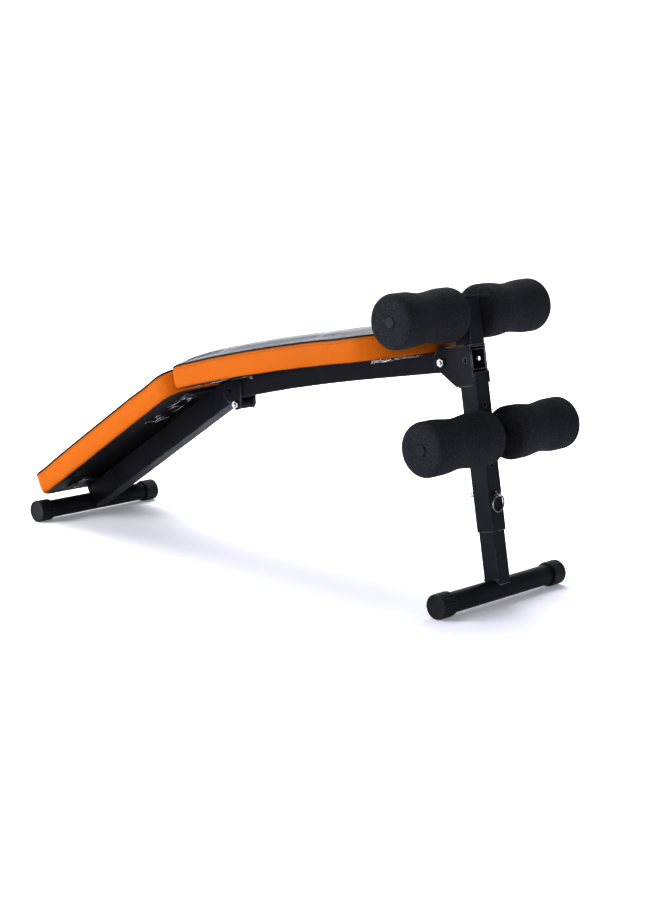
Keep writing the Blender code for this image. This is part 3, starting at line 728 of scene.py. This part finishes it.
def unwrap(uv, pad, rows, strips):
    """Lays the fabric out in metres: round the pad one way, and up its side and over its top the other."""
    around = distances_round(pad.outline)
    climbed = 0.0
    for level, strip in enumerate(strips):
        reached = climbed + (rows[level][0].co - rows[level + 1][0].co).length
        for face, left, right in zip(strip, around, around[1:]):
            corners = ((left, climbed), (right, climbed), (right, reached), (left, reached))
            for loop, corner in zip(face.loops, corners):
                loop[uv].uv = corner
        climbed = reached


def add_cushion(pad):
    """The upholstered cushion: orange sides, a black top and the vinyl turned under its board."""
    body = bmesh.new()
    uv = body.loops.layers.uv.new("Fabric")
    levels = pad_levels(pad)
    rows = [[body.verts.new(point) for point in pad.ring(*level[:3])] for level in levels]
    strips = bridge(body, rows)
    for strip, level in zip(strips, levels[1:]):
        for face in strip:
            face.material_index = level[3]
    unwrap(uv, pad, rows, strips)
    close_rows(body, rows, (UNDER_SLOT, TOP_SLOT))
    for row in rows[STILL_LEVELS:]:
        for vertex in row:
            vertex.co = pad.swelling.apply(vertex.co)
    name = f"{pad.prefix}_cushion"
    cushion = finish_mesh(name, body, (BAND, TOP_VINYL, BACKING_VINYL), pad.body, 60)
    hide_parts(f"{pad.prefix}_pad")
    return cushion


def add_piping(pad):
    """The black piping in the seam round the top, and a thin welt where the band turns under."""
    seam = [pad.swelling.apply(point) for point in pad.ring(0.0010 / HALF, pad.thickness - 0.0030)]
    body = tube_along(seam, PIPING_RADIUS, 8, closed=True)
    finish_mesh(f"{pad.prefix}_piping", body, (PIPING_VINYL,), pad.body)
    welt = [pad.swelling.apply(point) for point in pad.ring(0.0056 / HALF, hem_height)]
    body = tube_along(welt, WELT_RADIUS, 6, closed=True)
    finish_mesh(f"{pad.prefix}_welt", body, (PIPING_VINYL,), pad.body)


def add_stitches(pad):
    """A row of short thread stitches round the band under its seam, pulled slightly into the vinyl."""
    path = pad.ring(0.0006 / HALF, pad.thickness - SEAM_DROP - 0.0040, 0.0006)
    path = [pad.swelling.apply(point) for point in path]
    path.append(path[0])
    body = bmesh.new()
    travelled = 0.0
    wanted = 0.0
    for start, end in zip(path, path[1:]):
        length = (end - start).length
        while wanted + STITCH <= travelled + length:
            first = start.lerp(end, (wanted - travelled) / length)
            second = start.lerp(end, (wanted + STITCH - travelled) / length)
            add_thread(body, first, second)
            wanted += STITCH + STITCH_GAP
        travelled += length
        wanted = max(wanted, travelled)
    finish_mesh(f"{pad.prefix}_band_stitches", body, (THREAD,), pad.body)


def add_thread(body, start, end):
    """One stitch: a short thread thicker in its middle than where it dives into the vinyl."""
    along = (end - start).normalized()
    side = along.orthogonal().normalized()
    up = along.cross(side)
    rows = [circle(body, start.lerp(end, share), side, up, radius, 5) for share, radius in THREAD_RADII]
    bridge(body, rows)
    close_ends(body, rows)


def clamped(value):
    return min(max(value, 0.0), 1.0)


def looseness(pad, tabs, along, y):
    """0 where the backing is held, at its edge and by the steel tabs, less over the beam, and 1 elsewhere."""
    loose = clamped(min(HALF - abs(y), along, pad.length - along) / 0.010)
    for tab_along, tab_half in tabs:
        away = max(abs(along - tab_along) - TAB_HALF_LENGTH, abs(y) - tab_half)
        loose *= clamped(away / 0.012)
    beside_beam = (abs(y) - TUBE / 2 + 0.006) / 0.010
    return loose * clamped(max(beside_beam, 0.25))


def add_backing(pad, tabs):
    """The black vinyl under the board, loose and creased except where it is held."""
    body = bmesh.new()

    def sag(along, y):
        creases = noise.ridged_multi_fractal(Vector((along * 7.0, y * 16.0, 3.1)), 0.9, 2.1, 4, 0.9, 1.6)
        crease = clamped((creases - 0.55) / 1.2)
        return -0.0004 - BACKING_SAG * crease * looseness(pad, tabs, along, y)

    outer = 0.014 / HALF
    shares = [0.0062 / HALF]
    shares += [outer + (INNERMOST - outer) * i / BACKING_ROWS for i in range(BACKING_ROWS + 1)]
    rows = [[body.verts.new(point) for point in pad.ring(share, 0.0022)] for share in reversed(shares)]
    rows += [[body.verts.new(point) for point in pad.ring(share, sag)] for share in shares]
    bridge(body, rows)
    close_rows(body, rows)
    name = f"{pad.prefix}_backing"
    backing = finish_mesh(name, body, (BACKING_VINYL,), pad.body, 60)
    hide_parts(f"{pad.prefix}_board")


def add_creases(pad, clusters):
    """Sharp creases in the backing film, pale along the fold as painted glints."""
    random.seed(f"{pad.prefix} creases")
    body = bmesh.new()
    for along, y, spread, count, depth in clusters:
        for _ in range(count):
            points = wandering_line(pad, along, y, spread, depth)
            add_crease(body, points, random.uniform(0.0004, 0.0008))
    finish_mesh(f"{pad.prefix}_creases", body, (CREASED_FILM,), pad.body, 80)


def wandering_line(pad, along, y, spread, depth):
    """Points on a line that wanders under the board from near (along, y), up to depth below the film."""
    spot = Vector((random.gauss(along, spread), random.gauss(y, spread * 0.6)))
    heading = random.uniform(-0.7, 0.7) + random.choice((0.0, math.pi))
    points = []
    for _ in range(random.randint(7, 18)):
        points.append(pad.place(spot.x, spot.y, -0.0024 - random.uniform(0.0, depth)))
        heading += random.gauss(0.0, 0.38)
        spot += Vector((math.cos(heading), math.sin(heading))) * CREASE_STEP
    return points


def add_crease(body, points, radius):
    """A thin ridge with pointed ends along points."""
    rows = []
    last = len(points) - 1
    for i, point in enumerate(points):
        along = (points[min(i + 1, last)] - points[max(i - 1, 0)]).normalized()
        side = along.cross(Vector((0.0, 0.0, 1.0))).normalized()
        up = side.cross(along)
        swell = radius * (0.15 + math.sin(math.pi * (i + 0.3) / (last + 0.6)))
        rows.append(circle(body, point, side, up, swell, 5))
    bridge(body, rows)
    close_ends(body, rows)


def place_on_beam(along, y, height):
    """The point over the front board, which bends with the arched beam."""
    x, z = beam_point(FRONT_PAD_START + along, TUBE / 2 + PAD_LIFT + height)
    return UPRIGHT @ Vector((x, y, z))


def place_on_rear(along, y, height):
    return REAR @ Vector((-REAR_PAD_START - along, y, REAR_BEAM_TOP + PAD_LIFT + height))


def front_crown(along):
    """Fuller over the hips, at the fold, than at the leg rollers."""
    return 0.008 + 0.006 * along / FRONT_PAD_LENGTH


def rear_crown(along):
    """The same all along."""
    return 0.010


FRONT_PAD = Pad("front", FRONT_PAD_LENGTH, (0.110, 0.016), 0.045, front_crown, "front_frame", place_on_beam)
REAR_PAD = Pad("rear", REAR_PAD_LENGTH, (0.045, 0.016), 0.047, rear_crown, "rear_section", place_on_rear)

# (along, half width) of the steel tabs under each board
TABS = {"front": ((0.081, 0.047), (0.476, 0.047)), "rear": ((0.043, 0.085), (0.485, 0.085))}

# (along, y, spread, count, depth) of each cluster of creases
CREASES = {
    "front": (
        (0.050, -0.112, 0.011, 10, 0.0060),
        (0.026, -0.070, 0.009, 6, 0.0040),
        (0.030, 0.085, 0.014, 7, 0.0030),
        (0.470, -0.100, 0.012, 5, 0.0020),
        (0.540, -0.105, 0.010, 5, 0.0020),
        (0.500, 0.095, 0.014, 6, 0.0010),
    ),
    "rear": (
        (0.052, -0.088, 0.010, 6, 0.0012),
        (0.150, -0.080, 0.014, 6, 0.0010),
        (0.090, -0.050, 0.012, 3, 0.0008),
        (0.486, -0.070, 0.007, 4, 0.0010),
        (0.060, 0.085, 0.012, 6, 0.0010),
        (0.330, 0.080, 0.016, 5, 0.0008),
    ),
}
for pad in (FRONT_PAD, REAR_PAD):
    pad.swelling = Swelling(pad)
    add_creases(pad, CREASES[pad.prefix])
    add_cushion(pad)
    add_piping(pad)
    add_stitches(pad)
    add_backing(pad, TABS[pad.prefix])


# Foam rollers

ROLLER_ROWS = 56
ROLLER_STEPS = 96


def roller_wall(length):
    """(along, radius) pairs on the outside, from end to end: fuller near both ends than in the middle."""
    wall = []
    for i in range(ROLLER_ROWS + 1):
        share = 0.5 - 0.5 * math.cos(math.pi * i / ROLLER_ROWS)
        from_middle = min(abs(share - 0.5) / (0.5 - ROLLER_FULLEST), 1.0)
        swell = 0.5 - 0.5 * math.cos(math.pi * from_middle)
        radius = ROLLER_WAIST + (ROLLER_RADIUS - ROLLER_WAIST) * swell
        from_end = min(min(share, 1 - share) * length, ROLLER_ROUND)
        radius -= ROLLER_ROUND - math.sqrt(ROLLER_ROUND**2 - (ROLLER_ROUND - from_end) ** 2)
        wall.append((length * (share - 0.5), radius))
    return wall


def roller_rows(length):
    """(along, radius) pairs round a roller's section: a slightly dished end, its wall, the other end."""
    wall = roller_wall(length)
    half, flat_radius = wall[-1]
    end = [
        (half - 0.0003, flat_radius * 0.8),
        (half - 0.0003, flat_radius * 0.55),
        (half - 0.0006, ROLLER_BORE + 0.004),
        (half - 0.0010, ROLLER_BORE),
    ]
    start = [(-along, radius) for along, radius in reversed(end)]
    return start + wall + end


def add_roller(name):
    """A moulded foam roller, a little uneven, round its own spin axis."""
    low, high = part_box(name)
    centre = Vector(JOINTS[f"{name}_spin"]["pos_m"])
    length = high.y - low.y
    shift = 31.0 * centre.x + 17.0 * centre.y

    def place(along, x, z):
        radius = math.hypot(x, z)
        if radius < ROLLER_BORE + 0.001:
            return centre + Vector((x, along, z))
        broad = noise.noise(Vector((x * 38.0, along * 38.0 + shift, z * 38.0)))
        fine = noise.noise(Vector((x * 190.0, along * 190.0 + shift, z * 190.0)))
        swell = 1.0 + (0.0005 * broad + 0.00018 * fine) / max(radius, 0.02)
        return centre + Vector((x * swell, along, z * swell))

    body = lathe(roller_rows(length), ROLLER_STEPS, place)
    roller = finish_mesh(f"{name}_foam", body, (FOAM,), name, 60)
    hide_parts(name)


for level in ("upper", "lower"):
    for side in ("left", "right"):
        add_roller(f"{level}_roller_{side}")


# Foot caps

CAP_RIBS = 20
RIB_DEPTH = 0.0012
RIB_SHAPE = (1.0, 1.0, 1.0, 0.55, 0.0, 0.55)  # across one rib and its groove
CAP_BORE = FOOT_RADIUS + 0.0003

# (along from the end face, radius, ribbing) from the middle of the end face to the bottom of the bore
CAP_PROFILE = (
    (0.0009, CAP_RADIUS * 0.30, 0.0),
    (0.0009, CAP_RADIUS * 0.78, 0.0),
    (0.0006, CAP_RADIUS * 0.82, 0.0),
    (0.0, CAP_RADIUS * 0.84, 0.0),
    (0.0, CAP_RADIUS - 0.0012, 0.0),
    (0.0004, CAP_RADIUS - 0.0004, 0.15),
    (0.0016, CAP_RADIUS, 0.9),
    (0.0040, CAP_RADIUS, 1.0),
    (CAP_LENGTH - 0.0050, CAP_RADIUS, 1.0),
    (CAP_LENGTH - 0.0035, CAP_RADIUS, 0.6),
    (CAP_LENGTH - 0.0028, CAP_RADIUS - 0.0006, 0.0),
    (CAP_LENGTH - 0.0008, CAP_RADIUS - 0.0006, 0.0),
    (CAP_LENGTH, CAP_RADIUS - 0.0012, 0.0),
    (CAP_LENGTH, CAP_BORE, 0.0),
    (0.004, CAP_BORE, 0.0),
)


def add_foot_cap(node, body_name, centre, side):
    """A moulded cap with deep ribs along it, a rim round its end face and a plain lip towards the tube."""
    steps = CAP_RIBS * len(RIB_SHAPE)
    body = bmesh.new()
    loops = []
    for along, radius, ribbing in CAP_PROFILE:
        loop = []
        for i in range(steps):
            turn = 2 * math.pi * (i + 0.5) / steps
            reach = radius - RIB_DEPTH * ribbing * (1.0 - RIB_SHAPE[i % len(RIB_SHAPE)])
            point = Vector((reach * math.cos(turn), side * -along, reach * math.sin(turn)))
            loop.append(body.verts.new(centre + point))
        loops.append(loop)
    bridge(body, loops)
    close_ends(body, loops)
    cap = finish_mesh(f"{node}_ribbed", body, (PLASTIC,), body_name, 30)
    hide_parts(node)


def add_foot_caps(prefix, body_name, half):
    for side_name, side in (("right", -1), ("left", 1)):
        end_middle = foot_centre(f"{prefix}_foot_tube") + Vector((0.0, side * half, 0.0))
        add_foot_cap(f"{prefix}_foot_cap_{side_name}", body_name, end_middle, side)


add_foot_caps("front", "front_leg", FRONT_FOOT_HALF)
add_foot_caps("rear", "rear_section", REAR_FOOT_HALF)


# Split ring

RING_WIRE = 0.00085
RING_TURNS = 2.0
RING_STEPS = 110
RING_START = -140


def add_split_ring():
    """Two turns of round wire, side by side, hanging from the pin's eye."""
    low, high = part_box("pin_ring")
    middle = (low + high) / 2
    radius = (high.z - low.z) / 2 - RING_WIRE
    points = []
    for i in range(RING_STEPS + 1):
        share = i / RING_STEPS
        angle = math.radians(RING_START) + 2 * math.pi * RING_TURNS * share
        offset = RING_WIRE * math.tanh(12 * (share - 0.5))
        points.append(middle + Vector((offset, radius * math.sin(angle), radius * math.cos(angle))))
    body = tube_along(points, RING_WIRE, 8)
    ring = finish_mesh("pin_split_ring", body, (ZINC,), "pin_ring")
    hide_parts("pin_ring")


add_split_ring()


# Weld beads

SIDE_FACE = TUBE / 2
POST_BOTTOM = 0.4518
UPPER_BAR = (-0.006, 0.510)  # its axis in the upright's x and z
LOWER_BAR_HEIGHT = 0.2825


def add_weld(name, body_name, points, radius):
    """A painted weld bead along a seam."""
    path = resample(points, 0.0007)
    random.seed(name)
    jittered = [p + Vector([random.uniform(-1, 1) * 0.00012 for _ in range(3)]) for p in path]
    body = tube_along(jittered, radius, 8, ripple=0.22, ripple_length=0.0028)
    finish_mesh(name, body, (POWDER_COAT,), body_name, 70)


def in_upright(*points):
    return [UPRIGHT @ Vector(p) for p in points]


def in_rear(*points):
    return [REAR @ Vector(p) for p in points]


def arc_on_bar(centre, y, radius, start, end, steps=14):
    """Points round a cross bar at y, in the upright's x and z."""
    made = []
    for i in range(steps + 1):
        turn = math.radians(start + (end - start) * i / steps)
        made.append((centre[0] + radius * math.cos(turn), y, centre[1] + radius * math.sin(turn)))
    return in_upright(*made)


def add_side_welds(name, side):
    """The welds on one side of the bench: side is -1 on the right and 1 on the left."""
    face = side * SIDE_FACE
    plate = side * (SIDE_FACE + 0.0012)
    foot = side * 0.0172
    edge = side * 0.0200
    round_bar = arc_on_bar(UPPER_BAR, face + side * 0.0006, BAR_RADIUS + 0.0008, 0, 350)
    hinge = [FOLD + Vector((0.0130, plate, 0.0460)), FOLD + Vector((0.0125, plate, 0.0180))]
    seams = (
        ("cheek", "front_frame", in_upright((-0.021, face, 0.3768), (0.017, face, 0.3768)), 0.0019),
        ("post", "front_frame", in_upright((-0.017, face, POST_BOTTOM), (0.016, face, POST_BOTTOM)), 0.0014),
        ("upper_bar", "front_frame", round_bar, 0.0014),
        ("hinge", "front_frame", hinge, 0.0015),
        ("leg", "front_leg", in_upright((-0.0165, foot, 0.0196), (0.0165, foot, 0.0196)), 0.0015),
        ("bracket_edge", "front_frame", in_upright((0.0186, edge, 0.3800), (0.0186, edge, 0.4010)), 0.0020),
    )
    for seam, body_name, points, radius in seams:
        add_weld(f"weld_{seam}_{name}", body_name, points, radius)


def add_cross_welds():
    """The welds that run across the bench."""
    for name, x, radius in (("rear", -SIDE_FACE, 0.0014), ("front", SIDE_FACE - 0.0008, 0.0012)):
        line = in_upright((x, -0.016, POST_BOTTOM), (x, 0.016, POST_BOTTOM))
        add_weld(f"weld_post_{name}", "front_frame", line, radius)
    x = SIDE_FACE + 0.0014
    for name, z in (("top", LOWER_BAR_HEIGHT + 0.0066), ("bottom", LOWER_BAR_HEIGHT - 0.0066)):
        add_weld(f"weld_lower_bar_{name}", "front_frame", in_upright((x, -0.016, z), (x, 0.016, z)), 0.0016)
    for name, x in (("lower", -0.0098), ("upper", 0.0098)):
        line = in_rear((x, -0.0165, 0.0092), (x, 0.0165, 0.0092))
        add_weld(f"weld_barrel_{name}", "rear_section", line, 0.0015)


add_side_welds("right", -1)
add_side_welds("left", 1)
add_cross_welds()


# Materials of the frame's own nodes

ZINC_NODES = ("post_bolt", "post_nut", "fold_bolt", "fold_nut", "pull_pin")


def node_material(name):
    if "plug" in name:
        return PLUG_PLASTIC
    if name in ZINC_NODES or "screw" in name:
        return ZINC
    if name == "post_cap":
        return PLASTIC
    return POWDER_COAT


for node_name, node in NODES.items():
    if not node.hide_render:
        for material_slot in node.material_slots:
            material_slot.material = node_material(node_name)


# Studio

BLACK = (0.0, 0.0, 0.0)
FLOOR_COLOUR = (0.84, 0.84, 0.90)
FLOOR_REACH = 9.0
FAR_SIDE = (-0.6, 0.8, 0.0)
DIM_ROOM = (0.10, 0.11, 0.13)
BRIGHT_BAND = (0.90, 0.93, 1.0)
VIEW_AROUND = 43.1773
VIEW_ABOVE = 10.5008
VIEW_DISTANCE = 3.4826
VIEW_AIM = (-0.30965, 0.27797)  # right and up of the front foot's middle
VIEW_LENS = 75.646
GAMMA = 0.72

# (name, place, target, size, power)
LIGHTS = (
    ("overhead", (-0.9, 0.8, 2.5), (-0.2, 0.0, 0.2), (2.8, 2.4), 125.0),
    ("left_key", (-1.7, -2.7, 1.3), (-0.1, 0.0, 0.3), (1.4, 1.2), 105.0),
    ("camera_strip", (2.3, -2.5, 1.0), (0.2, 0.0, 0.3), (0.30, 1.3), 16.0),
)


def add_floor():
    """A wide level white floor, which glows faintly beside the bench, painted light that lightens the shadows
    there, and more with distance, so that it meets the white behind it.
    """
    body = bmesh.new()
    corners = ((-1, -1), (1, -1), (1, 1), (-1, 1))
    body.faces.new([body.verts.new((x * FLOOR_REACH, y * FLOOR_REACH, 0.0)) for x, y in corners])
    mesh = bpy.data.meshes.new("studio_floor")
    body.to_mesh(mesh)
    body.free()
    material, tree, shader = new_material("studio_floor_look", 0.65, specular=0.0)
    shader.inputs["Base Color"].default_value = (*FLOOR_COLOUR, 1.0)
    shader.inputs["Emission Strength"].default_value = 1.1
    away = add_node(tree, "ShaderNodeVectorMath", operation="LENGTH")
    link(tree, coordinates(tree), away.inputs[0])
    glow = remap(tree, away.outputs["Value"], (0.70, 2.0), (0.24, 1.0))
    link(tree, mix_colours(tree, glow, BLACK, WHITE), shader.inputs["Emission Color"])
    mesh.materials.append(material)
    floor = bpy.data.objects.new("studio_floor", mesh)
    bpy.context.scene.collection.objects.link(floor)


def add_area_light(name, place, target, size, power):
    light = bpy.data.lights.new(name, "AREA")
    light.shape = "RECTANGLE"
    light.size, light.size_y = size
    light.energy = power
    holder = bpy.data.objects.new(name, light)
    bpy.context.scene.collection.objects.link(holder)
    holder.location = place
    direction = Vector(target) - Vector(place)
    holder.rotation_euler = direction.to_track_quat("-Z", "Y").to_euler()


def room_colour(tree):
    """A dim room with a bright low band behind the bench, to its rear and left."""
    direction = add_node(tree, "ShaderNodeTexCoord")
    height = add_node(tree, "ShaderNodeSeparateXYZ")
    link(tree, direction.outputs["Generated"], height.inputs["Vector"])
    low = remap(tree, height.outputs["Z"], (0.26, 0.55), (1.0, 0.0))
    far_side = add_node(tree, "ShaderNodeVectorMath", operation="DOT_PRODUCT")
    link(tree, direction.outputs["Generated"], far_side.inputs[0])
    far_side.inputs[1].default_value = FAR_SIDE
    behind = remap(tree, far_side.outputs["Value"], (0.2, 0.7))
    share = add_node(tree, "ShaderNodeMath", operation="MULTIPLY")
    link(tree, low, share.inputs[0])
    link(tree, behind, share.inputs[1])
    return mix_colours(tree, share.outputs["Value"], DIM_ROOM, BRIGHT_BAND)


def add_world():
    """A room that lights the bench, and plain white where the view looks past the floor."""
    world = bpy.data.worlds.new("studio")
    world.use_nodes = True
    tree = world.node_tree
    room = tree.nodes["Background"]
    link(tree, room_colour(tree), room.inputs["Color"])
    room.inputs["Strength"].default_value = 1.9
    white = add_node(tree, "ShaderNodeBackground")
    white.inputs["Color"].default_value = (*WHITE, 1.0)
    white.inputs["Strength"].default_value = 1.1
    seen = add_node(tree, "ShaderNodeLightPath")
    mix = add_node(tree, "ShaderNodeMixShader")
    link(tree, seen.outputs["Is Camera Ray"], mix.inputs["Fac"])
    link(tree, room.outputs["Background"], mix.inputs[1])
    link(tree, white.outputs["Background"], mix.inputs[2])
    link(tree, mix.outputs["Shader"], tree.nodes["World Output"].inputs["Surface"])
    bpy.context.scene.world = world


def add_camera():
    """The view from the roller end, a little above the pads."""
    around = math.radians(VIEW_AROUND)
    above = math.radians(VIEW_ABOVE)
    back = Vector((math.sin(around) * math.cos(above), -math.cos(around) * math.cos(above), math.sin(above)))
    right = Vector((math.cos(around), math.sin(around), 0.0))
    up = back.cross(right)
    aim = Vector((FRONT_FOOT.x, 0.0, 0.0)) + right * VIEW_AIM[0] + up * VIEW_AIM[1]
    data = bpy.data.cameras.new("camera")
    data.sensor_width = 36.0
    data.lens = VIEW_LENS
    camera = bpy.data.objects.new("camera", data)
    bpy.context.scene.collection.objects.link(camera)
    turned = Matrix((right, up, back)).transposed().to_4x4()
    turned.translation = aim + back * VIEW_DISTANCE
    camera.matrix_world = turned
    bpy.context.scene.camera = camera


add_floor()
for light in LIGHTS:
    add_area_light(*light)
add_world()
add_camera()
bpy.context.scene.view_settings.view_transform = "Standard"
bpy.context.scene.view_settings.gamma = GAMMA
